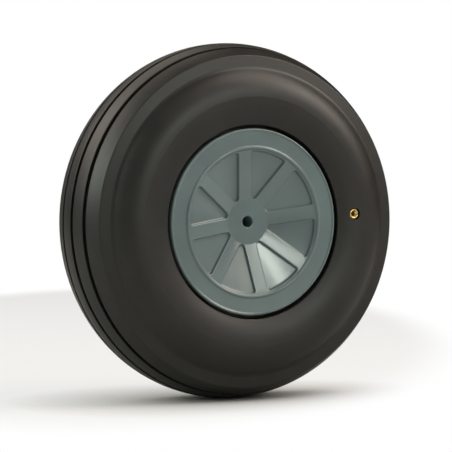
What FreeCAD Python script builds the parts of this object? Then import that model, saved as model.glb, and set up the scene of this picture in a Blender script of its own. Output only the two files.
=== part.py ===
"""Inflatable treaded wheel for a large-scale model aircraft.

The wheel stands upright.  The axle runs along Y and the outer face looks
toward -Y.  The origin is the wheel's centre, Z is up.  Sizes are in mm.

Depths are measured from the wheel's mid-plane toward whichever side the piece
faces, so one hub section serves both halves.
"""

import math
import os

import FreeCAD
import Part

Vector = FreeCAD.Vector

# ---- driving dimensions, mm and degrees ------------------------------------

# Tyre, outside
WHEEL_DIAMETER = 152.4          # 6 in over the tread
TREAD_ARC_RADIUS = 33.7         # crown of the tread, seen in section
TREAD_EDGE_ANGLE = 34.5         # from the mid-plane to the tread's edge
GROOVE_PAIRS = 2                # grooves on each side of the mid-plane
GROOVE_PITCH_ANGLE = 14.0
GROOVE_WIDTH = 1.9
GROOVE_DEPTH = 1.4
GROOVE_LIP_ROUND = 0.25
TREAD_EDGE_ROUND = 0.5
SHOULDER_DROP = 11.3            # foot of the flat band, below the crown
SHOULDER_DEPTH = 20.1
SHOULDER_BLEND = 2.2            # round between the band and the sidewall
SIDEWALL_CREST_RADIUS = 52.8
SIDEWALL_DEPTH = 26.0           # half of the tyre's greatest width
RIM_EDGE_RADIUS = 41.0          # where the sidewall ends, beside the hub
RIM_EDGE_DEPTH = 23.6
RIM_EDGE_ROUND = 0.5
RIM_GAP_DEPTH = 3.4             # moat beside the flange, below the bead's face
RIM_GAP_UNDERCUT = 0.3          # the moat reaches this far under the flange

# Tyre, inside
TREAD_WALL = 4.6
SIDE_WALL = 3.0

# Hub, both halves
AXLE_DIAMETER = 4.7625          # 3/16 in axle hole
AXLE_HOLE_CHAMFER = 0.3
BARREL_RADIUS = 33.0
FLANGE_RADIUS = 39.5
FLANGE_DEPTH = 23.4             # crest of the flange's outer band
FLANGE_THICKNESS = 3.1
FLANGE_BAND = 1.3               # width of the rounded outer band
FLANGE_DISH = 0.4               # the flat of the flange lies this far below
LIP_RADIUS = 31.4               # crest of the raised inner lip
LIP_WIDTH = 1.8
LIP_RISE = 0.1                  # the lip stands this far above the band
LIP_DROP = 1.2                  # foot of its inner round, below its crest
RECESS_RADIUS = 30.5            # inside of the barrel and of the recess
DISC_RADIUS = 9.6               # flat disc round the axle hole
DISC_DEPTH = 17.4
SPOKE_RIM_DEPTH = 22.7          # spokes' tops where they run into the lip
SPOKE_COUNT = 8
SPOKE_WIDTH = 6.0
SPOKE_ANGLE = 8.0               # first spoke, from +X toward +Z
POCKET_RIM_RADIUS = 30.0        # outer end of the pockets
POCKET_DEPTH = 1.4
POCKET_CORNER = 1.35            # at the pocket's inner end
POCKET_RIM_CORNER = 1.0         # at its two outer corners
POCKET_FLOOR_ROUND = 0.55
POCKET_EDGE_ROUND = 0.4
WEB_THICKNESS = 2.2
BOSS_RADIUS = 6.6
RIB_THICKNESS = 1.6
RIB_RELIEF = 2.2                # ribs stop this short of the mid-plane
TONGUE_HEIGHT = 1.5             # register that centres one half in the other
TONGUE_WIDTH = 1.1
REGISTER_CLEARANCE = 0.05
REGISTER_END_GAP = 0.1

# Hub screws
SCREW_COUNT = 4
SCREW_CIRCLE_RADIUS = 20.0
SCREW_DIAMETER = 2.9
SCREW_LENGTH = 25.0             # below the head
SCREW_POINT = 1.8
SCREW_HEAD_DIAMETER = 5.6
SCREW_HEAD_HEIGHT = 2.2
SCREW_SEAT_DEPTH = 14.6         # head's seat, from the mid-plane
SCREW_BOSS_RADIUS = 3.4
SCREW_PAD_RADIUS = 4.3
SCREW_PAD_RISE = 0.4            # above the spoke's top at its highest side
SCREW_PAD_FLOOR = 2.5           # plastic under the head
SCREW_HEAD_CLEARANCE = 0.3
SCREW_SHANK_CLEARANCE = 0.15
THREAD_CLEARANCE = 0.02
SCREW_HOLE_SPARE = 0.6          # blind hole, beyond the screw's point
CROSS_LENGTH = 3.2
CROSS_WIDTH = 0.75
CROSS_DEPTH = 1.3

# Valve
VALVE_RADIUS = 48.4             # from the wheel's axis
VALVE_ANGLE = 3.5               # from +X toward +Z
VALVE_SINK = 0.5                # mouth, below the sidewall's surface
VALVE_HEAD_DIAMETER = 4.5
VALVE_HEAD_HEIGHT = 1.3
VALVE_HEAD_ROUND = 0.25
VALVE_STEM_DIAMETER = 4.0
VALVE_STEM_LENGTH = 10.0
VALVE_PORT_DIAMETER = 2.3       # tapped for the inflation adaptor
VALVE_PORT_LENGTH = 3.6
VALVE_SEAT_DIAMETER = 1.4
VALVE_SEAT_LENGTH = 0.8
VALVE_CHAMBER_DIAMETER = 2.9
VALVE_RECESS_DIAMETER = 5.0     # rubber recess round the head
RUBBER_BOSS_DIAMETER = 12.0
RUBBER_BOSS_LENGTH = 5.8        # rubber gripped between head and washer
WASHER_DIAMETER = 8.0
WASHER_THICKNESS = 0.6
NUT_ACROSS_FLATS = 6.4
NUT_HEIGHT = 2.0
PIN_DIAMETER = 0.8
PIN_RECESS = 3.7                # pin's tip, below the mouth
PIN_HEAD_DIAMETER = 2.3
PIN_HEAD_THICKNESS = 0.6
PIN_TAIL_STICKOUT = 0.6         # beyond the retainer
SEAL_THICKNESS = 0.6
RETAINER_THICKNESS = 1.3
RETAINER_CLEARANCE = 0.05       # round the pin, radial
AIR_SLOT_WIDTH = 0.5
SPRING_WIRE = 0.28
SPRING_DIAMETER = 1.85          # to the middle of the wire
SPRING_TURNS = 5.0

# ---- derived dimensions ----------------------------------------------------

def bulge_radius(foot_radius, foot_depth):
    """Radius of the sidewall arc that is level at the crest and ends at a foot."""
    across = foot_radius - SIDEWALL_CREST_RADIUS
    drop = SIDEWALL_DEPTH - foot_depth
    return (across ** 2 + drop ** 2) / (2 * drop)


def sidewall_depth(radius):
    """Depth of the sidewall's surface between the hub and the crest."""
    bulge = bulge_radius(RIM_EDGE_RADIUS + RIM_EDGE_ROUND, RIM_EDGE_DEPTH)
    across = SIDEWALL_CREST_RADIUS - radius
    return SIDEWALL_DEPTH - bulge + math.sqrt(bulge ** 2 - across ** 2)


SHOULDER_RADIUS = WHEEL_DIAMETER / 2 - SHOULDER_DROP
TREAD_CENTRE_RADIUS = WHEEL_DIAMETER / 2 - TREAD_ARC_RADIUS
BORE_RADIUS = AXLE_DIAMETER / 2
SEAT_DEPTH = FLANGE_DEPTH - FLANGE_THICKNESS     # flange's back, on the tyre
FLANGE_FLAT_DEPTH = FLANGE_DEPTH - FLANGE_DISH
DISC_OVERLAP = (BARREL_RADIUS - RECESS_RADIUS) * 0.1   # disc runs into the wall
BLANK_RADIUS = BARREL_RADIUS                     # disc, before it is trimmed
SPOKE_SLOPE = (SPOKE_RIM_DEPTH - DISC_DEPTH) / (RECESS_RADIUS - DISC_RADIUS)
SCREW_STEP_ANGLE = 360.0 / SCREW_COUNT
SPOKE_STEP_ANGLE = 360.0 / SPOKE_COUNT

VALVE_MOUTH_DEPTH = sidewall_depth(VALVE_RADIUS) - VALVE_SINK
VALVE_SEAT_FACE = VALVE_MOUTH_DEPTH - VALVE_HEAD_HEIGHT
VALVE_PORT_END = VALVE_MOUTH_DEPTH - VALVE_PORT_LENGTH
CHAMBER_TOP = VALVE_PORT_END - VALVE_SEAT_LENGTH
STEM_END = VALVE_SEAT_FACE - VALVE_STEM_LENGTH
RUBBER_BOSS_END = VALVE_SEAT_FACE - RUBBER_BOSS_LENGTH
SEAL_BOTTOM = CHAMBER_TOP - SEAL_THICKNESS
PIN_HEAD_BOTTOM = SEAL_BOTTOM - PIN_HEAD_THICKNESS
RETAINER_TOP = STEM_END + RETAINER_THICKNESS
SPRING_LENGTH = PIN_HEAD_BOTTOM - RETAINER_TOP

FRONT = -1                      # the side that looks toward -Y
BACK = 1


# ---- helpers ---------------------------------------------------------------

def at(radius, depth, side=BACK):
    """Point of a section: distance from the axle, depth toward one side."""
    return Vector(radius, side * depth, 0)


def line(start, end):
    """Straight edge of a section."""
    return Part.makeLine(start, end)


def arc(start, middle, end):
    """Arc edge of a section, through three points."""
    return Part.Arc(start, middle, end).toShape()


def spun(edges):
    """Solid of revolution about the axle, from the edges of its section."""
    face = Part.Face(Part.Wire(Part.__sortEdges__(edges)))
    return face.revolve(Vector(0, 0, 0), Vector(0, 1, 0), 360)


def spun_polygon(points, side):
    """Solid of revolution about the axle, from (radius, depth) corners."""
    corners = [at(radius, depth, side) for radius, depth in points]
    return spun([line(a, b) for a, b in zip(corners, corners[1:] + corners[:1])])


def column(radius, from_depth, to_depth, side, x=0.0, z=0.0):
    """Cylinder parallel to the axle, between two depths on one side."""
    low, high = sorted((side * from_depth, side * to_depth))
    return Part.makeCylinder(radius, high - low, Vector(x, low, z),
                             Vector(0, 1, 0))


def turned(shape, angle):
    """Copy turned about the axle, counting from +X toward +Z."""
    copy = shape.copy()
    copy.rotate(Vector(0, 0, 0), Vector(0, 1, 0), -angle)
    return copy


def ring_of(shape, count, first_angle):
    """Copies of a shape spaced evenly round the axle."""
    return [turned(shape, first_angle + 360.0 / count * k) for k in range(count)]


def save(name, shape):
    """Write one node's STEP file."""
    os.makedirs("parts", exist_ok=True)
    shape.exportStep("parts/" + name + ".step")
    print(name, "solids", len(shape.Solids), "volume %.1f" % shape.Volume)


# ---- tyre ------------------------------------------------------------------

def tread_point(angle, depth_below=0.0):
    """Point of the tread's arc at an angle from the mid-plane."""
    reach = TREAD_ARC_RADIUS - depth_below
    return at(TREAD_CENTRE_RADIUS + reach * math.cos(math.radians(angle)),
              reach * math.sin(math.radians(angle)))


def tread_edges(sign):
    """Half of the tread, from the mid-plane out, with square grooves."""
    half_groove = math.degrees(GROOVE_WIDTH / 2 / TREAD_ARC_RADIUS)
    edges = []
    start = 0.0
    for index in range(GROOVE_PAIRS):
        middle = (index + 0.5) * GROOVE_PITCH_ANGLE
        near, far = middle - half_groove, middle + half_groove
        near_top, far_top = tread_point(sign * near), tread_point(sign * far)
        near_floor = tread_point(sign * near, GROOVE_DEPTH)
        far_floor = tread_point(sign * far, GROOVE_DEPTH)
        edges += [arc(tread_point(sign * start),
                      tread_point(sign * (start + near) / 2), near_top),
                  line(near_top, near_floor), line(near_floor, far_floor),
                  line(far_floor, far_top)]
        start = far
    edges.append(arc(tread_point(sign * start),
                     tread_point(sign * (start + TREAD_EDGE_ANGLE) / 2),
                     tread_point(sign * TREAD_EDGE_ANGLE)))
    return edges


def bulge_arc(foot_radius, foot_depth, side):
    """Sidewall arc from the crest, where it is level, to a foot."""
    bulge = bulge_radius(foot_radius, foot_depth)
    across = foot_radius - SIDEWALL_CREST_RADIUS
    half = math.asin(across / bulge) / 2
    middle = at(SIDEWALL_CREST_RADIUS + bulge * math.sin(half),
                SIDEWALL_DEPTH - bulge * (1 - math.cos(half)), side)
    return arc(at(SIDEWALL_CREST_RADIUS, SIDEWALL_DEPTH, side), middle,
               at(foot_radius, foot_depth, side))


def side_edges(side):
    """Shoulder band, sidewall, the step beside the hub and the bead's face."""
    tread_edge = tread_point(side * TREAD_EDGE_ANGLE)
    band_foot = at(SHOULDER_RADIUS, SHOULDER_DEPTH, side)
    rim_radius = RIM_EDGE_RADIUS + RIM_EDGE_ROUND
    rim_corner = at(RIM_EDGE_RADIUS + RIM_EDGE_ROUND * 0.29,
                    RIM_EDGE_DEPTH - RIM_EDGE_ROUND * 0.29, side)
    rim_side = at(RIM_EDGE_RADIUS, RIM_EDGE_DEPTH - RIM_EDGE_ROUND, side)
    moat_radius = FLANGE_RADIUS - RIM_GAP_UNDERCUT
    moat = [rim_side, at(RIM_EDGE_RADIUS, SEAT_DEPTH - RIM_GAP_DEPTH, side),
            at(moat_radius, SEAT_DEPTH - RIM_GAP_DEPTH, side),
            at(moat_radius, SEAT_DEPTH, side),
            at(BARREL_RADIUS, SEAT_DEPTH, side)]
    return [line(tread_edge, band_foot),
            bulge_arc(SHOULDER_RADIUS, SHOULDER_DEPTH, side),
            bulge_arc(rim_radius, RIM_EDGE_DEPTH, side),
            arc(at(rim_radius, RIM_EDGE_DEPTH, side), rim_corner, rim_side),
            *(line(a, b) for a, b in zip(moat, moat[1:]))]


def ring_section(tread):
    """Edges of the tyre's outline in section, with the given tread edges."""
    return (tread + side_edges(FRONT) + side_edges(BACK)
            + [line(at(BARREL_RADIUS, SEAT_DEPTH, FRONT),
                    at(BARREL_RADIUS, SEAT_DEPTH, BACK))])


def cavity():
    """Air space: the outline set in by the side wall, less under the tread."""
    plain_tread = [arc(tread_point(-TREAD_EDGE_ANGLE), tread_point(0),
                       tread_point(TREAD_EDGE_ANGLE))]
    outline = Part.Face(Part.Wire(Part.__sortEdges__(ring_section(plain_tread))))
    set_in = outline.makeOffset2D(-SIDE_WALL)
    under_tread = Part.Face(Part.Wire(Part.makeCircle(
        TREAD_ARC_RADIUS - TREAD_WALL, at(TREAD_CENTRE_RADIUS, 0),
        Vector(0, 0, 1))))
    section = Part.Face(set_in.Wires[0]).common(under_tread)
    return section.Faces[0].revolve(Vector(0, 0, 0), Vector(0, 1, 0), 360)


def circles_at(solid, radius, depth):
    """Circular edges of a spun solid at a radius, on both sides."""
    return [edge for edge in solid.Edges if edge.Closed
            and all(abs(math.hypot(v.X, v.Z) - radius) < 1e-4
                    and abs(abs(v.Y) - depth) < 1e-4 for v in edge.Vertexes)]


def rounded_outside():
    """Outside of the tyre with its lips and creases rounded."""
    solid = spun(ring_section(tread_edges(FRONT) + tread_edges(BACK)))
    half_groove = math.degrees(GROOVE_WIDTH / 2 / TREAD_ARC_RADIUS)
    lips = []
    for index in range(GROOVE_PAIRS):
        middle = (index + 0.5) * GROOVE_PITCH_ANGLE
        for angle in (middle - half_groove, middle + half_groove):
            lip = tread_point(angle)
            lips += circles_at(solid, lip.x, lip.y)
    edge = tread_point(TREAD_EDGE_ANGLE)
    solid = solid.makeFillet(GROOVE_LIP_ROUND, lips)
    solid = solid.makeFillet(TREAD_EDGE_ROUND, circles_at(solid, edge.x, edge.y))
    return solid.makeFillet(
        SHOULDER_BLEND, circles_at(solid, SHOULDER_RADIUS, SHOULDER_DEPTH))


def tyre():
    """Closed hollow ring of rubber with a boss for the valve inside."""
    outside = rounded_outside()
    boss = valve_column(RUBBER_BOSS_DIAMETER / 2, SIDEWALL_DEPTH, RUBBER_BOSS_END)
    recess = valve_column(VALVE_RECESS_DIAMETER / 2,
                          SIDEWALL_DEPTH + 1, VALVE_SEAT_FACE)
    hole = valve_column(VALVE_STEM_DIAMETER / 2, SIDEWALL_DEPTH,
                        RUBBER_BOSS_END - 1)
    return outside.cut(cavity().cut(boss)).cut([recess, hole])


# ---- hub -------------------------------------------------------------------

def spoke_top(radius):
    """Depth of the spokes' tops at a distance from the axle."""
    return DISC_DEPTH + max(0.0, radius - DISC_RADIUS) * SPOKE_SLOPE


def web_back(radius):
    """Depth of the back of the web behind the pockets."""
    return spoke_top(radius) - POCKET_DEPTH - WEB_THICKNESS


def boss(side):
    """Central tube round the axle hole, behind the disc."""
    return spun_polygon(
        [(BORE_RADIUS, 0), (BOSS_RADIUS, 0), (BOSS_RADIUS, DISC_DEPTH - 1),
         (BORE_RADIUS, DISC_DEPTH - 1)], side)


def hub_ring(side):
    """Barrel and flange of one half, with the recess wall inside."""
    lip_foot = LIP_WIDTH / 2
    lip_crest = FLANGE_DEPTH + LIP_RISE
    band_middle = FLANGE_RADIUS - FLANGE_BAND / 2
    wall_top = at(RECESS_RADIUS, lip_crest - LIP_DROP, side)
    lip_top = at(LIP_RADIUS, lip_crest, side)
    lip_inner = at(RECESS_RADIUS + (LIP_RADIUS - RECESS_RADIUS) * 0.3,
                   lip_crest - LIP_DROP * 0.3, side)
    lip_end = at(LIP_RADIUS + lip_foot, FLANGE_FLAT_DEPTH, side)
    lip_outer = at(LIP_RADIUS + lip_foot * 0.72,
                   FLANGE_FLAT_DEPTH + (lip_crest - FLANGE_FLAT_DEPTH) * 0.62,
                   side)
    band_start = at(FLANGE_RADIUS - FLANGE_BAND, FLANGE_FLAT_DEPTH, side)
    band_rise = at(FLANGE_RADIUS - FLANGE_BAND * 0.8,
                   FLANGE_DEPTH - FLANGE_DISH * 0.35, side)
    band_top = at(band_middle, FLANGE_DEPTH, side)
    band_round = at(FLANGE_RADIUS - FLANGE_BAND * 0.15,
                    FLANGE_DEPTH - FLANGE_BAND * 0.15, side)
    band_side = at(FLANGE_RADIUS, FLANGE_DEPTH - FLANGE_BAND / 2, side)
    corners = [at(FLANGE_RADIUS, SEAT_DEPTH, side),
               at(BARREL_RADIUS, SEAT_DEPTH, side),
               at(BARREL_RADIUS, 0, side),
               at(RECESS_RADIUS, 0, side)]
    edges = [line(a, b) for a, b in zip(corners, corners[1:])]
    edges += [line(corners[-1], wall_top),
              arc(wall_top, lip_inner, lip_top),
              arc(lip_top, lip_outer, lip_end),
              line(lip_end, band_start),
              arc(band_start, band_rise, band_top),
              arc(band_top, band_round, band_side),
              line(band_side, corners[0])]
    return spun(edges)


def pocket(side):
    """One wedge-shaped pocket between two spokes, open toward the face."""
    half_step = math.radians(SPOKE_STEP_ANGLE / 2)
    tip = SPOKE_WIDTH / 2 / math.sin(half_step)
    spread = half_step - math.asin(SPOKE_WIDTH / 2 / POCKET_RIM_RADIUS)
    low, high = side * web_back(DISC_RADIUS), side * FLANGE_DEPTH
    inner = Vector(tip, low, 0)
    outer = [Vector(POCKET_RIM_RADIUS * math.cos(angle), low,
                    POCKET_RIM_RADIUS * math.sin(angle))
             for angle in (spread, 0, -spread)]
    wedge = Part.Face(Part.Wire([line(inner, outer[0]), arc(*outer),
                                 line(outer[2], inner)])).extrude(
        Vector(0, high - low, 0))
    wedge = wedge.makeFillet(POCKET_CORNER, upright_edges(wedge, inner))
    for corner in (outer[0], outer[2]):
        wedge = wedge.makeFillet(POCKET_RIM_CORNER, upright_edges(wedge, corner))
    floor = DISC_DEPTH - POCKET_DEPTH
    above_floor = spun_polygon(
        [(0, floor), (DISC_RADIUS, floor),
         (BLANK_RADIUS, spoke_top(BLANK_RADIUS) - POCKET_DEPTH),
         (BLANK_RADIUS, FLANGE_DEPTH), (0, FLANGE_DEPTH)], side)
    tool = wedge.common(turned(above_floor, 180))
    return tool.makeFillet(POCKET_FLOOR_ROUND,
                           edges_on_cone(tool, side, POCKET_DEPTH))


def upright_edges(shape, foot):
    """Edges parallel to the axle that stand over a point."""
    return [edge for edge in shape.Edges
            if all(math.hypot(v.X - foot.x, v.Z - foot.z) < 1e-6
                   for v in edge.Vertexes)]


def edges_on_cone(shape, side, below):
    """Edges that lie on the spokes' tops, or a set depth below them."""
    found = []
    for edge in shape.Edges:
        middle = edge.valueAt((edge.FirstParameter + edge.LastParameter) / 2)
        points = [middle] + [v.Point for v in edge.Vertexes]
        if all(abs(side * p.y + below - spoke_top(math.hypot(p.x, p.z))) < 1e-4
               for p in points):
            found.append(edge)
    return found


def spoked_disc(side):
    """Dished disc with raised spokes, trimmed to the recess after rounding."""
    blank = spun_polygon(
        [(BORE_RADIUS, web_back(DISC_RADIUS)), (DISC_RADIUS, web_back(DISC_RADIUS)),
         (BLANK_RADIUS, web_back(BLANK_RADIUS)),
         (BLANK_RADIUS, spoke_top(BLANK_RADIUS)), (DISC_RADIUS, DISC_DEPTH),
         (BORE_RADIUS + AXLE_HOLE_CHAMFER, DISC_DEPTH),
         (BORE_RADIUS, DISC_DEPTH - AXLE_HOLE_CHAMFER)], side)
    first = SPOKE_ANGLE + SPOKE_STEP_ANGLE / 2
    disc = turned(blank, SPOKE_ANGLE).cut(
        ring_of(pocket(side), SPOKE_COUNT, first))
    mouths = [edge for edge in edges_on_cone(disc, side, 0)
              if DISC_RADIUS < math.hypot(edge.CenterOfMass.x,
                                          edge.CenterOfMass.z)
              < POCKET_RIM_RADIUS + 1e-3]
    disc = disc.makeFillet(POCKET_EDGE_ROUND, mouths)
    return disc.common(
        column(RECESS_RADIUS + DISC_OVERLAP, 0, FLANGE_DEPTH, side))


def ribs(side):
    """Radial stiffening ribs behind the spokes, from boss to barrel."""
    overlap = 0.3
    length = RECESS_RADIUS - BOSS_RADIUS + 2 * overlap
    low, high = RIB_RELIEF, web_back(RECESS_RADIUS)
    start = min(side * low, side * high)
    rib = Part.makeBox(length, high - low, RIB_THICKNESS,
                       Vector(BOSS_RADIUS - overlap, start, -RIB_THICKNESS / 2))
    under_web = spun_polygon(
        [(0, 0), (RECESS_RADIUS + 1, 0),
         (RECESS_RADIUS + 1, web_back(RECESS_RADIUS) + overlap),
         (DISC_RADIUS, web_back(DISC_RADIUS) + overlap),
         (0, web_back(DISC_RADIUS) + overlap)], side)
    return ring_of(rib.common(under_web), SPOKE_COUNT, SPOKE_ANGLE)


def screw_columns(radius, from_depth, to_depth, side):
    """Columns at every screw position, between two depths."""
    post = column(radius, from_depth, to_depth, side, x=SCREW_CIRCLE_RADIUS)
    return ring_of(post, SCREW_COUNT, SPOKE_ANGLE)


def hub_half(side):
    """One moulded half: shell, ribs, screw columns, and rounded pockets."""
    post_top = web_back(SCREW_CIRCLE_RADIUS - SCREW_BOSS_RADIUS) + 0.3
    return hub_ring(side).fuse(
        [spoked_disc(side), boss(side)] + ribs(side)
        + screw_columns(SCREW_BOSS_RADIUS, 0, post_top, side))


def outer_hub_half():
    """Front half: blind screw holes and the register tongue."""
    outer = RECESS_RADIUS + TONGUE_WIDTH
    tongue = spun_polygon(
        [(RECESS_RADIUS, -TONGUE_HEIGHT), (outer, -TONGUE_HEIGHT),
         (outer, 0.5), (RECESS_RADIUS, 0.5)], FRONT)
    holes = screw_columns(SCREW_DIAMETER / 2 + THREAD_CLEARANCE, 0,
                          SCREW_LENGTH - SCREW_SEAT_DEPTH + SCREW_HOLE_SPARE,
                          FRONT)
    return hub_half(FRONT).fuse(tongue).cut(holes)


def inner_hub_half():
    """Back half: screw pads with sunk seats, clearance holes, the rebate."""
    pad_top = spoke_top(SCREW_CIRCLE_RADIUS + SCREW_PAD_RADIUS) + SCREW_PAD_RISE
    pads = screw_columns(SCREW_PAD_RADIUS, SCREW_SEAT_DEPTH - SCREW_PAD_FLOOR,
                         pad_top, BACK)
    sinks = screw_columns(SCREW_HEAD_DIAMETER / 2 + SCREW_HEAD_CLEARANCE,
                          SCREW_SEAT_DEPTH, pad_top + 1, BACK)
    holes = screw_columns(SCREW_DIAMETER / 2 + SCREW_SHANK_CLEARANCE,
                          -1, SCREW_SEAT_DEPTH + 1, BACK)
    outer = RECESS_RADIUS + TONGUE_WIDTH + REGISTER_CLEARANCE
    top = TONGUE_HEIGHT + REGISTER_END_GAP
    rebate = spun_polygon(
        [(RECESS_RADIUS - 1, -1), (outer, -1), (outer, top),
         (RECESS_RADIUS - 1, top)], BACK)
    return hub_half(BACK).fuse(pads).cut(sinks + holes + [rebate])


def hub_screws():
    """Pan-head self-tapping screws, driven from the back half."""
    head_top = SCREW_SEAT_DEPTH + SCREW_HEAD_HEIGHT
    head_radius = SCREW_HEAD_DIAMETER / 2
    point_end = SCREW_SEAT_DEPTH - SCREW_LENGTH
    radius = SCREW_DIAMETER / 2
    section = [line(at(0, point_end), at(radius, point_end + SCREW_POINT)),
               line(at(radius, point_end + SCREW_POINT),
                    at(radius, SCREW_SEAT_DEPTH)),
               line(at(radius, SCREW_SEAT_DEPTH),
                    at(head_radius, SCREW_SEAT_DEPTH)),
               line(at(head_radius, SCREW_SEAT_DEPTH),
                    at(head_radius, SCREW_SEAT_DEPTH + SCREW_HEAD_HEIGHT * 0.4)),
               arc(at(head_radius, SCREW_SEAT_DEPTH + SCREW_HEAD_HEIGHT * 0.4),
                   at(head_radius * 0.74,
                      SCREW_SEAT_DEPTH + SCREW_HEAD_HEIGHT * 0.83),
                   at(0, head_top)),
               line(at(0, head_top), at(0, point_end))]
    screw = spun(section)
    for length, width in ((CROSS_LENGTH, CROSS_WIDTH), (CROSS_WIDTH, CROSS_LENGTH)):
        screw = screw.cut(Part.makeBox(
            length, CROSS_DEPTH + 1, width,
            Vector(-length / 2, head_top - CROSS_DEPTH, -width / 2)))
    screw.translate(Vector(SCREW_CIRCLE_RADIUS, 0, 0))
    return Part.makeCompound(ring_of(screw, SCREW_COUNT, SPOKE_ANGLE))


# ---- valve -----------------------------------------------------------------

def valve_place(shape):
    """Move a shape made about the axle to the valve's own axis."""
    moved = shape.copy()
    moved.translate(Vector(VALVE_RADIUS, 0, 0))
    return turned(moved, VALVE_ANGLE)


def valve_column(radius, from_depth, to_depth):
    """Cylinder on the valve's axis, between two depths at the front."""
    return valve_place(column(radius, from_depth, to_depth, FRONT))


def valve_ring(outer, inner, from_depth, to_depth):
    """Tube on the valve's axis, between two depths at the front."""
    return valve_column(outer, from_depth, to_depth).cut(
        valve_column(inner, from_depth + 1, to_depth - 1))


def valve_body():
    """Turned brass body: rounded head, stem, tapped port, seat and chamber."""
    head = VALVE_HEAD_DIAMETER / 2
    port = VALVE_PORT_DIAMETER / 2
    stem = VALVE_STEM_DIAMETER / 2
    chamber = VALVE_CHAMBER_DIAMETER / 2
    seat = VALVE_SEAT_DIAMETER / 2
    corner = VALVE_HEAD_ROUND
    points = [(port + corner, VALVE_MOUTH_DEPTH), (head - corner, VALVE_MOUTH_DEPTH),
              (head, VALVE_MOUTH_DEPTH - corner), (head, VALVE_SEAT_FACE),
              (stem, VALVE_SEAT_FACE), (stem, STEM_END), (chamber, STEM_END),
              (chamber, CHAMBER_TOP), (seat, CHAMBER_TOP), (seat, VALVE_PORT_END),
              (port, VALVE_PORT_END), (port, VALVE_MOUTH_DEPTH - corner)]
    return valve_place(spun_polygon(points, FRONT))


def valve_washer():
    """Washer between the nut and the rubber."""
    return valve_ring(WASHER_DIAMETER / 2, VALVE_STEM_DIAMETER / 2 + 0.05,
                      RUBBER_BOSS_END, RUBBER_BOSS_END - WASHER_THICKNESS)


def valve_nut():
    """Hexagon nut on the inner end of the stem."""
    top = RUBBER_BOSS_END - WASHER_THICKNESS
    corner = NUT_ACROSS_FLATS / math.sqrt(3)
    points = [Vector(corner * math.cos(math.radians(60 * k)), FRONT * top,
                     corner * math.sin(math.radians(60 * k))) for k in range(6)]
    prism = Part.Face(Part.makePolygon(points + points[:1])).extrude(
        Vector(0, -FRONT * NUT_HEIGHT, 0))
    return valve_place(prism).cut(
        valve_column(VALVE_STEM_DIAMETER / 2, top + 1, top - NUT_HEIGHT - 1))


def valve_pin():
    """Pin with its collar: the tip faces the mouth, the tail is guided."""
    pin = PIN_DIAMETER / 2
    head = PIN_HEAD_DIAMETER / 2
    tip = VALVE_MOUTH_DEPTH - PIN_RECESS
    tail = STEM_END - PIN_TAIL_STICKOUT
    points = [(0, tip), (pin, tip), (pin, SEAL_BOTTOM), (head, SEAL_BOTTOM),
              (head, PIN_HEAD_BOTTOM), (pin, PIN_HEAD_BOTTOM), (pin, tail),
              (0, tail)]
    return valve_place(spun_polygon(points, FRONT))


def valve_seal():
    """Rubber ring on the pin's collar, pressed against the seat."""
    return valve_ring(PIN_HEAD_DIAMETER / 2, PIN_DIAMETER / 2,
                      CHAMBER_TOP, SEAL_BOTTOM)


def valve_retainer():
    """Guide ring at the inner end, with two slots for the air."""
    ring = valve_ring(VALVE_CHAMBER_DIAMETER / 2,
                      PIN_DIAMETER / 2 + RETAINER_CLEARANCE,
                      RETAINER_TOP, STEM_END)
    reach = VALVE_CHAMBER_DIAMETER * 0.42
    slot = Part.makeBox(reach * 2, RETAINER_THICKNESS + 2, AIR_SLOT_WIDTH,
                        Vector(-reach, FRONT * RETAINER_TOP - 1,
                               -AIR_SLOT_WIDTH / 2))
    core = column(PIN_DIAMETER / 2 + RETAINER_CLEARANCE + 0.2,
                  RETAINER_TOP + 2, STEM_END - 2, FRONT)
    return ring.cut(valve_place(slot.cut(core)))


def valve_spring():
    """Coil spring between the pin's collar and the retainer."""
    rise = SPRING_LENGTH - SPRING_WIRE
    helix = Part.makeHelix(rise / SPRING_TURNS, rise, SPRING_DIAMETER / 2)
    profile = Part.Wire(Part.makeCircle(
        SPRING_WIRE / 2, Vector(SPRING_DIAMETER / 2, 0, 0), Vector(0, 1, 0)))
    coil = Part.Wire(helix.Edges).makePipeShell([profile], True, True)
    coil.rotate(Vector(0, 0, 0), Vector(1, 0, 0), -90)
    coil.translate(Vector(0, FRONT * PIN_HEAD_BOTTOM + SPRING_WIRE / 2, 0))
    return valve_place(coil)


# ---- all nodes -------------------------------------------------------------

save("tyre", tyre())
save("outer_hub_half", outer_hub_half())
save("inner_hub_half", inner_hub_half())
save("hub_screws", hub_screws())
save("valve_body", valve_body())
save("valve_washer", valve_washer())
save("valve_nut", valve_nut())
save("valve_pin", valve_pin())
save("valve_seal", valve_seal())
save("valve_retainer", valve_retainer())
save("valve_spring", valve_spring())
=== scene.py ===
"""Studio scene for the inflatable wheel of a large-scale model aircraft.

The wheel stands upright with its axle along Y and its outer face toward -Y.
Lengths are in metres unless a name says otherwise.
"""

from __future__ import annotations

import logging
import math
from collections import Counter
from dataclasses import dataclass, field
from enum import Enum
from typing import Any, Callable, Optional

import bpy
from mathutils import Matrix, Vector

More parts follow.
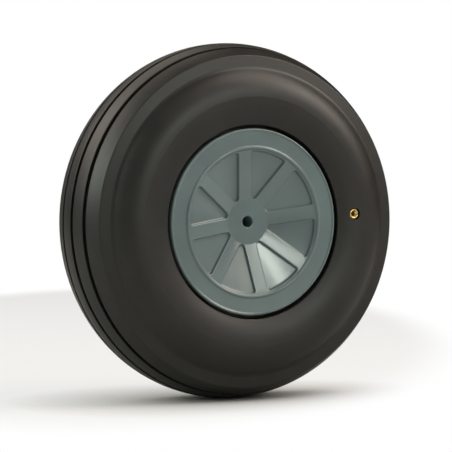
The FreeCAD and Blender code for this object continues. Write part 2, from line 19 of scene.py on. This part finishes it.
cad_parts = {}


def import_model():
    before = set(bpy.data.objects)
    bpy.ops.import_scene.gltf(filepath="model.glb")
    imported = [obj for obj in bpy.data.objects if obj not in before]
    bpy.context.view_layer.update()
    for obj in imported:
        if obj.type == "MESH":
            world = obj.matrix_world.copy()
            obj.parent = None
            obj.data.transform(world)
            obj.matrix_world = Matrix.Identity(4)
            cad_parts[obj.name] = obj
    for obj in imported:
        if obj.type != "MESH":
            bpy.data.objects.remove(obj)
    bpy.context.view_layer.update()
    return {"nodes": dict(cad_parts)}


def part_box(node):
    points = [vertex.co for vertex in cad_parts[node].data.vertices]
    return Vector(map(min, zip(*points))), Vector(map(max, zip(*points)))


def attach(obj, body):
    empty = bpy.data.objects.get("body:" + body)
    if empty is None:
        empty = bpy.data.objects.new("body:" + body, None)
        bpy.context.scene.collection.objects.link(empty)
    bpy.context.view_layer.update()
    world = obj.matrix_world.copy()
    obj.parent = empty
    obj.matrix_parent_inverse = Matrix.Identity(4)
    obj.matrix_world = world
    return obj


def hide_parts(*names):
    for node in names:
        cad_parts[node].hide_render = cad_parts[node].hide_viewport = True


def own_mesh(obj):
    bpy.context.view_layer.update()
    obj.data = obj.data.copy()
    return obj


LOG = logging.getLogger("wheel")
MM = 0.001
OUTWARD = Vector((0, -1, 0))    # out of the wheel's outer face
WELD = 0.002 * MM               # points nearer than this are one
RIM_REACH = 0.01 * MM           # how level the edges of one rim are
CREASE = math.radians(35)       # steeper edges stay sharp
THREAD_LEAD = 0.3 * MM          # how far under its port a thread is begun
Links = dict[str, tuple[bpy.types.Node, str]]


class Trim(Enum):
    """Which side of a level cut is thrown away."""

    ABOVE = 1
    BELOW = -1


class Tint(Enum):
    """Colour of a lamp's light: nearly white in both cases."""

    WARM = "#fff1e4"
    COOL = "#f8fff4"


# ---- colour and node helpers -----------------------------------------------

def srgb(code: str) -> tuple[float, float, float, float]:
    """Turn an sRGB hex colour into linear RGBA.

    Args:
        code: Colour as "#rrggbb".

    Returns:
        Linear red, green, blue and an alpha of 1.
    """
    parts = [int(code[i:i + 2], 16) / 255 for i in (1, 3, 5)]
    linear = [c / 12.92 if c <= 0.04045 else ((c + 0.055) / 1.055) ** 2.4
              for c in parts]
    return (*linear, 1.0)


def add_node(tree: bpy.types.NodeTree, kind: str,
             settings: Optional[dict[str, Any]] = None,
             values: Optional[dict[str, Any]] = None,
             links: Optional[Links] = None) -> bpy.types.Node:
    """Add one shader node with its settings, socket values and links.

    Args:
        tree: Node tree that gets the node.
        kind: Blender's type name of the node.
        settings: Properties of the node, by name.
        values: Socket values, by socket name or index.
        links: For each socket, the source node and its output's name.

    Returns:
        The new node.
    """
    node = tree.nodes.new(kind)
    for name, value in (settings or {}).items():
        setattr(node, name, value)
    for name, value in (values or {}).items():
        node.inputs[name].default_value = value
    for name, (source, output) in (links or {}).items():
        tree.links.new(source.outputs[output], node.inputs[name])
    return node


def ramp(tree: bpy.types.NodeTree, source: tuple[bpy.types.Node, str],
         stops: list[tuple[float, tuple[float, float, float, float]]]
         ) -> bpy.types.Node:
    """Add a colour ramp fed by a value.

    Args:
        tree: Node tree that gets the ramp.
        source: Node and output that drive the ramp.
        stops: Positions and linear colours, in order.

    Returns:
        The ramp node.
    """
    node = add_node(tree, "ShaderNodeValToRGB", links={"Fac": source})
    elements = node.color_ramp.elements
    while len(elements) < len(stops):
        elements.new(0.5)
    for element, (position, colour) in zip(elements, stops):
        element.position = position
        element.color = colour
    return node


def new_material(name: str) -> tuple[bpy.types.Material, bpy.types.NodeTree,
                                     bpy.types.Node]:
    """Make an empty node material with a shader and an output.

    Args:
        name: Name of the finish.

    Returns:
        The material, its node tree and its shader node.
    """
    material = bpy.data.materials.new(name)
    material.use_nodes = True
    tree = material.node_tree
    tree.nodes.clear()
    shader = add_node(tree, "ShaderNodeBsdfPrincipled")
    add_node(tree, "ShaderNodeOutputMaterial",
             links={"Surface": (shader, "BSDF")})
    return material, tree, shader


# ---- finishes ---------------------------------------------------------------

# Black rubber, cured in a polished steel mould. The mould gives it a broad
# soft sheen, and wax that rises to its surface clouds the black a little.
@dataclass(frozen=True)
class MouldedRubber:
    """Black compound straight from a polished steel mould."""

    name: str = "moulded_black_rubber"
    dark: str = "#161614"
    bloom: str = "#1f1e1c"
    roughness: float = 0.44
    cloud_mm: float = 14.0
    grain_mm: float = 0.35      # the real grain is finer and wouldn't show

    def build(self) -> bpy.types.Material:
        """Return the material: a soft dull sheen with a faint waxy bloom."""
        material, tree, shader = new_material(self.name)
        place = add_node(tree, "ShaderNodeTexCoord")
        cloud = add_node(tree, "ShaderNodeTexNoise",
                         values={"Scale": 1 / (self.cloud_mm * MM),
                                 "Detail": 4.0, "Roughness": 0.6},
                         links={"Vector": (place, "Object")})
        tint = ramp(tree, (cloud, "Fac"),
                    [(0.35, srgb(self.dark)), (0.7, srgb(self.bloom))])
        gloss = add_node(tree, "ShaderNodeMapRange",
                         values={"To Min": self.roughness - 0.04,
                                 "To Max": self.roughness + 0.06},
                         links={"Value": (cloud, "Fac")})
        grain = add_node(tree, "ShaderNodeTexNoise",
                         values={"Scale": 1 / (self.grain_mm * MM),
                                 "Detail": 3.0},
                         links={"Vector": (place, "Object")})
        bump = add_node(tree, "ShaderNodeBump",
                        values={"Strength": 0.12, "Distance": 0.02 * MM},
                        links={"Height": (grain, "Fac")})
        tree.links.new(tint.outputs["Color"], shader.inputs["Base Color"])
        tree.links.new(gloss.outputs["Result"], shader.inputs["Roughness"])
        tree.links.new(bump.outputs["Normal"], shader.inputs["Normal"])
        shader.inputs["IOR"].default_value = 1.45
        return material


# Nylon, injection moulded. Its skin copies the polished tool, so it mirrors
# the lamps, with faint waves where the plastic flowed and shrank.
@dataclass(frozen=True)
class MouldedNylon:
    """Grey-green nylon, injection moulded, with a glossy skin."""

    name: str = "glossy_grey_nylon"
    base: str = "#677779"
    shade: str = "#616f72"
    roughness: float = 0.14
    edge_mm: float = 0.5        # how far the moulded edges look rounded
    flow_mm: float = 22.0
    wave_mm: float = 3.5

    def build(self) -> bpy.types.Material:
        """Return the material: even colour, glossy skin, faint sink marks."""
        material, tree, shader = new_material(self.name)
        place = add_node(tree, "ShaderNodeTexCoord")
        flow = add_node(tree, "ShaderNodeTexNoise",
                        values={"Scale": 1 / (self.flow_mm * MM),
                                "Detail": 2.0},
                        links={"Vector": (place, "Object")})
        tint = ramp(tree, (flow, "Fac"),
                    [(0.3, srgb(self.shade)), (0.7, srgb(self.base))])
        gloss = add_node(tree, "ShaderNodeMapRange",
                         values={"To Min": self.roughness - 0.04,
                                 "To Max": self.roughness + 0.05},
                         links={"Value": (flow, "Fac")})
        skin = add_node(tree, "ShaderNodeTexNoise",
                        values={"Scale": 1 / (self.wave_mm * MM),
                                "Detail": 2.0},
                        links={"Vector": (place, "Object")})
        soft = add_node(tree, "ShaderNodeBevel", {"samples": 6},
                        values={"Radius": self.edge_mm * MM})
        bump = add_node(tree, "ShaderNodeBump",
                        values={"Strength": 0.10, "Distance": 0.04 * MM},
                        links={"Height": (skin, "Fac"),
                               "Normal": (soft, "Normal")})
        tree.links.new(tint.outputs["Color"], shader.inputs["Base Color"])
        tree.links.new(gloss.outputs["Result"], shader.inputs["Roughness"])
        tree.links.new(bump.outputs["Normal"], shader.inputs["Normal"])
        shader.inputs["IOR"].default_value = 1.53
        return material


# Bare or plated metal with fine tool marks. The marks spread each highlight a
# little, and thin tarnish lies in clouds over the bright metal.
@dataclass(frozen=True)
class TurnedMetal:
    """Metal straight from the lathe, with fine tool marks."""

    name: str
    base: str
    worn: str
    roughness: float = 0.24
    tarnish_mm: float = 1.2
    marks_mm: float = 0.15

    def build(self) -> bpy.types.Material:
        """Return the material: bright metal with slight tarnish."""
        material, tree, shader = new_material(self.name)
        place = add_node(tree, "ShaderNodeTexCoord")
        tarnish = add_node(tree, "ShaderNodeTexNoise",
                           values={"Scale": 1 / (self.tarnish_mm * MM),
                                   "Detail": 4.0},
                           links={"Vector": (place, "Object")})
        tint = ramp(tree, (tarnish, "Fac"),
                    [(0.35, srgb(self.worn)), (0.65, srgb(self.base))])
        gloss = add_node(tree, "ShaderNodeMapRange",
                         values={"To Min": self.roughness - 0.05,
                                 "To Max": self.roughness + 0.08},
                         links={"Value": (tarnish, "Fac")})
        marks = add_node(tree, "ShaderNodeTexNoise",
                         values={"Scale": 1 / (self.marks_mm * MM),
                                 "Detail": 1.0},
                         links={"Vector": (place, "Object")})
        bump = add_node(tree, "ShaderNodeBump",
                        values={"Strength": 0.15, "Distance": 0.005 * MM},
                        links={"Height": (marks, "Fac")})
        tree.links.new(tint.outputs["Color"], shader.inputs["Base Color"])
        tree.links.new(gloss.outputs["Result"], shader.inputs["Roughness"])
        tree.links.new(bump.outputs["Normal"], shader.inputs["Normal"])
        shader.inputs["Metallic"].default_value = 1.0
        return material


def dress(obj: bpy.types.Object, material: bpy.types.Material) -> None:
    """Give an object one material all over.

    Args:
        obj: Object to dress.
        material: Finish that it gets.
    """
    if not obj.material_slots:
        obj.data.materials.append(material)
    for slot in obj.material_slots:
        slot.material = material


# ---- modelling helpers ------------------------------------------------------

def edit(obj: bpy.types.Object) -> None:
    """Make one object the only one selected and open it in edit mode.

    Args:
        obj: Mesh object to work on.
    """
    bpy.ops.object.select_all(action="DESELECT")
    obj.select_set(True)
    bpy.context.view_layer.objects.active = obj
    bpy.ops.object.mode_set(mode="EDIT")


def done() -> None:
    """Leave edit mode."""
    bpy.ops.object.mode_set(mode="OBJECT")


def turn_profile(name: str, profile: list[tuple[float, float]],
                 segments: int) -> bpy.types.Object:
    """Turn a profile about the Z axis, ring by ring.

    Args:
        name: Name of the new object.
        profile: Radius and height of each ring, in metres.
        segments: Corners in each ring.

    Returns:
        An open shell through all the rings.
    """
    radius, height = profile[0]
    bpy.ops.object.select_all(action="DESELECT")
    bpy.ops.mesh.primitive_circle_add(vertices=segments, radius=radius,
                                      location=(0, 0, height))
    obj = bpy.context.object
    obj.name = name
    bpy.ops.object.transform_apply(location=True)
    edit(obj)
    bpy.ops.mesh.select_all(action="SELECT")
    for next_radius, next_height in profile[1:]:
        bpy.ops.mesh.extrude_edges_move(
            TRANSFORM_OT_translate={"value": (0, 0, next_height - height)})
        share = next_radius / radius
        bpy.ops.transform.resize(value=(share, share, 1),
                                 center_override=(0, 0, next_height))
        radius, height = next_radius, next_height
    done()
    return obj


def select_rim(obj: bpy.types.Object, height: float, radius: float) -> None:
    """Select the open edges at one height that lie inside one radius.

    Args:
        obj: Mesh object, in object mode.
        height: Height of the edges on the Z axis.
        radius: Largest distance of the edges from the Z axis.
    """
    mesh = obj.data
    uses = Counter(key for face in mesh.polygons for key in face.edge_keys)
    for part in (mesh.vertices, mesh.edges, mesh.polygons):
        part.foreach_set("select", [False] * len(part))
    for edge in mesh.edges:
        ends = [mesh.vertices[i].co for i in edge.vertices]
        edge.select = uses[edge.key] == 1 and all(
            abs(end.z - height) < RIM_REACH and end.xy.length < radius
            for end in ends)


def close_up(obj: bpy.types.Object) -> None:
    """Merge double points and turn all the faces outwards.

    Args:
        obj: Mesh object, in object mode.
    """
    edit(obj)
    bpy.ops.mesh.select_all(action="SELECT")
    bpy.ops.mesh.remove_doubles(threshold=WELD)
    bpy.ops.mesh.normals_make_consistent(inside=False)
    done()


def set_outward(obj: bpy.types.Object, place: tuple[float, float, float]
                ) -> None:
    """Turn a piece's Z axis out of the outer face and put it in its place.

    Args:
        obj: Finished piece, built at the origin.
        place: Where its origin goes, in metres.
    """
    bpy.ops.object.select_all(action="DESELECT")
    obj.select_set(True)
    bpy.context.view_layer.objects.active = obj
    obj.rotation_euler = OUTWARD.to_track_quat("Z", "Y").to_euler()
    obj.location = place
    bpy.ops.object.transform_apply(location=True, rotation=True)
    bpy.ops.object.shade_smooth_by_angle(angle=CREASE)


def wind(obj: bpy.types.Object, rise: float, turns: int, steps: int) -> None:
    """Wind an open outline about the Z axis into a helix.

    Args:
        obj: Outline in a plane through the Z axis.
        rise: Height gained in one turn.
        turns: Number of turns.
        steps: Corners in one turn.
    """
    winding = obj.modifiers.new("winding", "SCREW")
    winding.axis = "Z"
    winding.steps = winding.render_steps = steps
    winding.screw_offset = rise
    winding.iterations = turns
    bpy.ops.object.modifier_apply(modifier=winding.name)


# ---- the wheel --------------------------------------------------------------

@dataclass
class Tyre:
    """Hollow rubber tyre with four tread grooves."""

    node: bpy.types.Object
    rubber: MouldedRubber = field(default_factory=MouldedRubber)

    def build(self) -> bpy.types.Object:
        """Dress the tyre and return it."""
        dress(self.node, self.rubber.build())
        return self.node


@dataclass
class Hub:
    """Two moulded halves and the screws that hold them together."""

    halves: list[bpy.types.Object]
    screws: bpy.types.Object
    nylon: MouldedNylon = field(default_factory=MouldedNylon)

    def build(self) -> bpy.types.Object:
        """Dress both halves and the screws and return the outer half."""
        plastic = self.nylon.build()
        for half in self.halves:
            dress(half, plastic)
        dress(self.screws, TurnedMetal("zinc_plated_steel", "#b9bcc0",
                                       "#8d9196", 0.28).build())
        return self.halves[0]


@dataclass
class Valve:
    """Brass valve in the sidewall: turned body, nut, pin, seal and spring.

    Sizes are in millimetres, and heights are counted from the body's mouth.
    """

    brass_nodes: list[bpy.types.Object]
    seal: bpy.types.Object
    head_radius: float = 2.25
    head_height: float = 1.3
    crown_round: float = 0.47
    crown_reach: float = 64.0        # degrees to each side of its top
    crown_rings: int = 12
    stem_radius: float = 2.0
    stem_end: float = 11.3
    chamber_radius: float = 1.45
    chamber_top: float = 4.4
    seat_radius: float = 0.7
    port_end: float = 3.6
    port_relief: float = 0.1         # plain stretch at the thread's foot
    thread_radius: float = 1.15      # at the crest
    thread_pitch: float = 0.5        # rise in one turn
    root_gap: float = 0.02           # from the thread's root to the relief
    segments: int = 64
    spring_wire: float = 0.28
    spring_turns: int = 5
    spring_steps: int = 32
    travel: float = 1.0              # of the pin, which shortens the real spring; the wound spring keeps one length

    @property
    def root_radius(self) -> float:
        """Largest radius of the right-angled thread."""
        return self.thread_radius + self.thread_pitch / 2

    @property
    def rims(self) -> list[tuple[float, Trim]]:
        """Heights at which the thread ends, and what is cut off there."""
        drop = self.crown_round * (1 - math.cos(math.radians(
            self.crown_reach)))
        return [(-drop * MM, Trim.ABOVE),
                ((self.port_relief - self.port_end) * MM, Trim.BELOW)]

    def shell(self) -> bpy.types.Object:
        """Turn everything but the port: crown, head, stem, chamber, seat."""
        reach = math.radians(self.crown_reach)
        middle = self.head_radius - self.crown_round * math.sin(reach)
        crown = []
        for ring in range(self.crown_rings + 1):
            t = reach * (2 * ring / self.crown_rings - 1)
            crown.append((middle + self.crown_round * math.sin(t),
                          -self.crown_round * (1 - math.cos(t))))
        relief = self.root_radius + self.root_gap
        rest = [(self.head_radius, -self.head_height),
                (self.stem_radius, -self.head_height),
                (self.stem_radius, -self.stem_end),
                (self.chamber_radius, -self.stem_end),
                (self.chamber_radius, -self.chamber_top),
                (self.seat_radius, -self.chamber_top),
                (self.seat_radius, -self.port_end),
                (relief, -self.port_end),
                (relief, self.port_relief - self.port_end)]
        return turn_profile("turned_valve_body",
                            [(r * MM, z * MM) for r, z in crown + rest],
                            self.segments)

    def thread(self) -> bpy.types.Object:
        """Wind the port's inside thread and cut its two ends square."""
        pitch = self.thread_pitch * MM
        bpy.ops.object.select_all(action="DESELECT")
        bpy.ops.mesh.primitive_circle_add(
            vertices=4, radius=pitch / 2, rotation=(math.pi / 2, 0, 0),
            location=(self.thread_radius * MM, 0,
                      -self.port_end * MM - THREAD_LEAD))
        obj = bpy.context.object
        bpy.ops.object.transform_apply(location=True, rotation=True)
        inner = min(obj.data.vertices, key=lambda v: v.co.x).index
        edit(obj)
        bpy.ops.mesh.select_all(action="DESELECT")
        done()
        obj.data.vertices[inner].select = True
        edit(obj)
        bpy.ops.mesh.delete(type="VERT")
        done()
        wind(obj, pitch, math.ceil(self.port_end / self.thread_pitch) + 1,
             self.segments)
        edit(obj)
        for height, trim in self.rims:
            bpy.ops.mesh.select_all(action="SELECT")
            bpy.ops.mesh.remove_doubles(threshold=WELD)
            bpy.ops.mesh.bisect(plane_co=(0, 0, height),
                                plane_no=(0, 0, trim.value),
                                clear_outer=True, threshold=WELD / 2)
        done()
        return obj

    def turned_body(self) -> bpy.types.Object:
        """Join shell and thread and set the body into the sidewall."""
        low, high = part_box("valve_body")
        body, thread = self.shell(), self.thread()
        bpy.ops.object.select_all(action="DESELECT")
        thread.select_set(True)
        body.select_set(True)
        bpy.context.view_layer.objects.active = body
        bpy.ops.object.join()
        edit(body)
        bpy.ops.mesh.select_mode(type="EDGE")
        done()
        for height, _ in self.rims:
            select_rim(body, height, self.chamber_radius * MM)
            edit(body)
            bpy.ops.mesh.bridge_edge_loops()
            done()
        close_up(body)
        set_outward(body, ((low.x + high.x) / 2, low.y, (low.z + high.z) / 2))
        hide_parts("valve_body")
        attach(body, "wheel")
        return body

    def coil(self) -> bpy.types.Object:
        """Wind the spring at the length of its part; it doesn't shorten with
        the pin.
        """
        low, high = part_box("valve_spring")
        length = high.y - low.y
        wire = self.spring_wire * MM
        bpy.ops.object.select_all(action="DESELECT")
        bpy.ops.mesh.primitive_circle_add(
            vertices=12, radius=wire / 2, rotation=(math.pi / 2, 0, 0),
            location=((high.x - low.x - wire) / 2, 0, 0))
        obj = bpy.context.object
        obj.name = "wound_valve_spring"
        bpy.ops.object.transform_apply(location=True, rotation=True)
        wind(obj, (length - wire) / self.spring_turns, self.spring_turns,
             self.spring_steps)
        edit(obj)
        bpy.ops.mesh.select_all(action="SELECT")
        bpy.ops.mesh.remove_doubles(threshold=WELD)
        bpy.ops.mesh.fill_holes(sides=12)
        done()
        close_up(obj)
        set_outward(obj, ((low.x + high.x) / 2, high.y - wire / 2,
                          (low.z + high.z) / 2))
        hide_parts("valve_spring")
        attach(obj, "wheel")
        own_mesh(obj)
        return obj

    def build(self) -> bpy.types.Object:
        """Make the body and the spring, dress all and return the body."""
        body = self.turned_body()
        brass = TurnedMetal("turned_brass", "#ecd18c", "#d5b56c", 0.22).build()
        for node in [body, *self.brass_nodes]:
            dress(node, brass)
        dress(self.seal, MouldedRubber("seal_rubber", "#1b1b1b", "#232323",
                                       0.6).build())
        dress(self.coil(), TurnedMetal("spring_wire", "#a8abb0", "#85888c",
                                       0.3).build())
        return body


# ---- studio -----------------------------------------------------------------

@dataclass
class Softbox:
    """Rectangular studio light aimed at the wheel."""

    name: str
    azimuth: float
    elevation: float
    distance: float
    width: float
    height: float
    watts: float
    tint: Tint

    def build(self) -> bpy.types.Object:
        """Make the lamp, aimed at the wheel's centre."""
        a, e = math.radians(self.azimuth), math.radians(self.elevation)
        away = Vector((math.sin(a) * math.cos(e), -math.cos(a) * math.cos(e),
                       math.sin(e)))
        lamp = bpy.data.lights.new(self.name, "AREA")
        lamp.shape = "RECTANGLE"
        lamp.size, lamp.size_y = self.width, self.height
        lamp.energy = self.watts
        lamp.color = srgb(self.tint.value)[:3]
        obj = bpy.data.objects.new(self.name, lamp)
        obj.location = away * self.distance
        obj.rotation_euler = away.to_track_quat("Z", "Y").to_euler()
        bpy.context.collection.objects.link(obj)
        return obj


@dataclass
class Studio:
    """Pale floor that sweeps up into a white backdrop, lights and camera."""

    floor_depth: float
    azimuth: float = -28.65
    elevation: float = 1.82
    distance: float = 0.981
    lens_mm: float = 181.6
    wheel_right: float = 0.000805
    wheel_up: float = 0.00230
    floor_size: float = 6.0
    floor_colours: tuple[str, str] = ("#c5c7c5", "#c9cbc9")
    pool_centre: tuple[float, float] = (0.115, 0.336)
    pool_size: tuple[float, float] = (0.17, 0.43)
    pool_edge: tuple[float, float] = (0.93, 1.15)
    pool_glow: float = 0.68
    shadow_reach: float = 0.05
    shadow_depth: float = 1.7
    shadow_colour: str = "#9a9a94"
    mirrored_backdrop: float = 0.05
    front_glow: float = 0.324
    panel_distance: float = 0.95
    panel_side: float = 0.13

    def camera(self) -> bpy.types.Object:
        """Make the camera that looks at the outer face from the left."""
        a, e = math.radians(self.azimuth), math.radians(self.elevation)
        back = Vector((math.sin(a) * math.cos(e), -math.cos(a) * math.cos(e),
                       math.sin(e)))
        right = Vector((math.cos(a), math.sin(a), 0))
        up = back.cross(right)
        data = bpy.data.cameras.new("camera")
        data.lens = self.lens_mm
        data.clip_start, data.clip_end = 0.05, 50
        obj = bpy.data.objects.new("camera", data)
        turn = Matrix((right, up, back)).transposed().to_4x4()
        turn.translation = (back * self.distance - right * self.wheel_right
                            - up * self.wheel_up)
        obj.matrix_world = turn
        bpy.context.collection.objects.link(obj)
        bpy.context.scene.camera = obj
        return obj

    def sweep_material(self) -> bpy.types.Material:
        """Return the floor's paint: a grey pool round the wheel, then white.

        The pool is an ellipse on the floor, with a painted contact shadow in
        the
        narrow gap under the tyre: the paint darkens there and the glow dims.
        """
        material, tree, shader = new_material("pale_floor_paint")
        place = add_node(tree, "ShaderNodeTexCoord")
        pool = add_node(tree, "ShaderNodeMapping", {"vector_type": "TEXTURE"},
                        values={"Location": (*self.pool_centre,
                                             self.floor_depth),
                                "Rotation": (0, 0, math.radians(self.azimuth)),
                                "Scale": (*self.pool_size, 1.0)},
                        links={"Vector": (place, "Object")})
        far = add_node(tree, "ShaderNodeVectorMath", {"operation": "LENGTH"},
                       links={0: (pool, "Vector")})
        # Painted contact shadow: occlusion under the tyre drives both the
        # paint's darkening and the dimmed glow
        gap = add_node(tree, "ShaderNodeAmbientOcclusion", {"samples": 12},
                       values={"Distance": self.shadow_reach})
        painted_shadow_fac = add_node(tree, "ShaderNodeMath", {"operation": "POWER"},
                        values={1: self.shadow_depth},
                        links={0: (gap, "AO")})
        near = add_node(tree, "ShaderNodeMath", {"operation": "MULTIPLY"},
                        values={1: self.pool_glow},
                        links={0: (painted_shadow_fac, "Value")})
        fade = add_node(tree, "ShaderNodeMapRange",
                        {"interpolation_type": "SMOOTHSTEP"},
                        values={"From Min": self.pool_edge[0],
                                "From Max": self.pool_edge[1]},
                        links={"Value": (far, "Value"),
                               "To Min": (near, "Value")})
        speckle = add_node(tree, "ShaderNodeTexNoise",
                           values={"Scale": 60.0, "Detail": 3.0},
                           links={"Vector": (place, "Object")})
        paint = ramp(tree, (speckle, "Fac"),
                     [(0.3, srgb(self.floor_colours[0])),
                      (0.7, srgb(self.floor_colours[1]))])
        # Painted shadow: the paint turns towards shadow_colour where the floor
        # is occluded
        shaded = add_node(tree, "ShaderNodeMixRGB",
                          values={"Color1": srgb(self.shadow_colour)},
                          links={"Fac": (painted_shadow_fac, "Value"),
                                 "Color2": (paint, "Color")})
        tree.links.new(shaded.outputs["Color"], shader.inputs["Base Color"])
        shader.inputs["Roughness"].default_value = 0.8
        shader.inputs["Specular IOR Level"].default_value = 0.2
        glow = add_node(tree, "ShaderNodeEmission", values={"Strength": 1.0})
        path = add_node(tree, "ShaderNodeLightPath")
        indirect = add_node(tree, "ShaderNodeMath", {"operation": "MAXIMUM"},
                            links={0: (path, "Is Glossy Ray"),
                                   1: (path, "Is Transmission Ray")})
        dimmed = add_node(tree, "ShaderNodeMath", {"operation": "MULTIPLY"},
                          values={1: self.mirrored_backdrop},
                          links={0: (indirect, "Value")})
        seen = add_node(tree, "ShaderNodeMath", {"operation": "MAXIMUM"},
                        links={0: (path, "Is Camera Ray"),
                               1: (dimmed, "Value")})
        share = add_node(tree, "ShaderNodeMath", {"operation": "MULTIPLY"},
                         links={0: (fade, "Result"), 1: (seen, "Value")})
        mixed = add_node(tree, "ShaderNodeMixShader",
                         links={0: (share, "Value"), 1: (shader, "BSDF"),
                                2: (glow, "Emission")})
        output = next(n for n in tree.nodes if n.type == "OUTPUT_MATERIAL")
        tree.links.new(mixed.outputs["Shader"], output.inputs["Surface"])
        return material

    def sweep(self) -> bpy.types.Object:
        """Model the floor and extrude its back edge up into a backdrop."""
        bpy.ops.object.select_all(action="DESELECT")
        bpy.ops.mesh.primitive_plane_add(size=self.floor_size,
                                         location=(0, 0, self.floor_depth))
        floor = bpy.context.object
        floor.name = "floor_sweep"
        bpy.ops.object.transform_apply(location=True)
        edit(floor)
        bpy.ops.mesh.select_all(action="DESELECT")
        done()
        back_edge = self.floor_size / 2 - 0.1
        for edge in floor.data.edges:
            edge.select = all(floor.data.vertices[i].co.y > back_edge
                              for i in edge.vertices)
        edit(floor)
        bpy.ops.mesh.select_mode(type="EDGE")
        for lift, back in ((0.3, 1.0), (1.2, 0.5), (3.0, 0.1)):
            bpy.ops.mesh.extrude_edges_move(
                TRANSFORM_OT_translate={"value": (0, back, lift)})
        done()
        dress(floor, self.sweep_material())
        return floor

    def world(self) -> None:
        """Light the room dimly from the front, with white behind it all."""
        world = bpy.data.worlds.new("studio_air")
        bpy.context.scene.world = world
        world.use_nodes = True
        tree = world.node_tree
        tree.nodes.clear()
        path = add_node(tree, "ShaderNodeLightPath")
        place = add_node(tree, "ShaderNodeTexCoord")
        split = add_node(tree, "ShaderNodeSeparateXYZ",
                         links={"Vector": (place, "Generated")})
        depth = add_node(tree, "ShaderNodeMapRange",
                         {"interpolation_type": "SMOOTHSTEP"},
                         values={"From Min": -0.45, "From Max": 0.25,
                                 "To Min": self.front_glow, "To Max": 0.0},
                         links={"Value": (split, "Y")})
        room = add_node(tree, "ShaderNodeBackground",
                        values={"Color": srgb("#fdfaf6")},
                        links={"Strength": (depth, "Result")})
        white = add_node(tree, "ShaderNodeBackground",
                         values={"Color": (1, 1, 1, 1), "Strength": 1.0})
        mixed = add_node(tree, "ShaderNodeMixShader",
                         links={0: (path, "Is Camera Ray"),
                                1: (room, "Background"),
                                2: (white, "Background")})
        add_node(tree, "ShaderNodeOutputWorld",
                 links={"Surface": (mixed, "Shader")})

    def lights(self) -> list[bpy.types.Object]:
        """Make the softboxes: large ones all round, small ones in front."""
        warm, cool = Tint.WARM, Tint.COOL
        boxes = [
            Softbox("back_left", -135, 40, 0.9, 0.45, 0.45, 2.9, warm),
            Softbox("left_high", -100, 55, 0.88, 0.45, 0.4, 0.3, cool),
            Softbox("left", -98, 25, 0.9, 0.45, 0.4, 4.2, cool),
            Softbox("right_high", 60, 58, 0.85, 0.5, 0.4, 2.75, warm),
            Softbox("right", 62, 32, 0.88, 0.35, 0.35, 3.45, warm),
            Softbox("back", 180, 55, 0.9, 0.5, 0.45, 1.1, warm),
        ]
        for number, (azimuth, elevation, watts, tint) in enumerate((
                (7, 15, 0.55, cool), (16, 11, 0.07, cool),
                (16, 20, 0.75, cool), (25, 22.5, 0.3, cool),
                (34, 22, 0.2, warm), (43, 20, 0.15, warm))):
            boxes.append(Softbox(f"front_{number}", azimuth, elevation,
                                 self.panel_distance, self.panel_side,
                                 self.panel_side, watts, tint))
        return [box.build() for box in boxes]

    def build(self) -> None:
        """Set up the floor, the room, the lights, the camera and the view."""
        self.sweep()
        self.world()
        self.lights()
        self.camera()
        bpy.context.scene.view_settings.view_transform = "Standard"


def main() -> None:
    """Dress the wheel, set up the studio and log each step."""
    logging.basicConfig(level=logging.INFO, format="%(name)s: %(message)s")
    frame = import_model()
    nodes = frame["nodes"]
    steps: list[tuple[str, Callable[[], Any]]] = [
        ("tyre", Tyre(nodes["tyre"]).build),
        ("hub", Hub([nodes["outer_hub_half"], nodes["inner_hub_half"]],
                    nodes["hub_screws"]).build),
        ("valve", Valve([nodes[name] for name in (
            "valve_washer", "valve_nut", "valve_pin", "valve_retainer")],
            nodes["valve_seal"]).build),
        ("studio", Studio(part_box("tyre")[0].z).build),
    ]
    for name, build in steps:
        build()
        LOG.info("built %s", name)


if __name__ == "__main__":
    main()
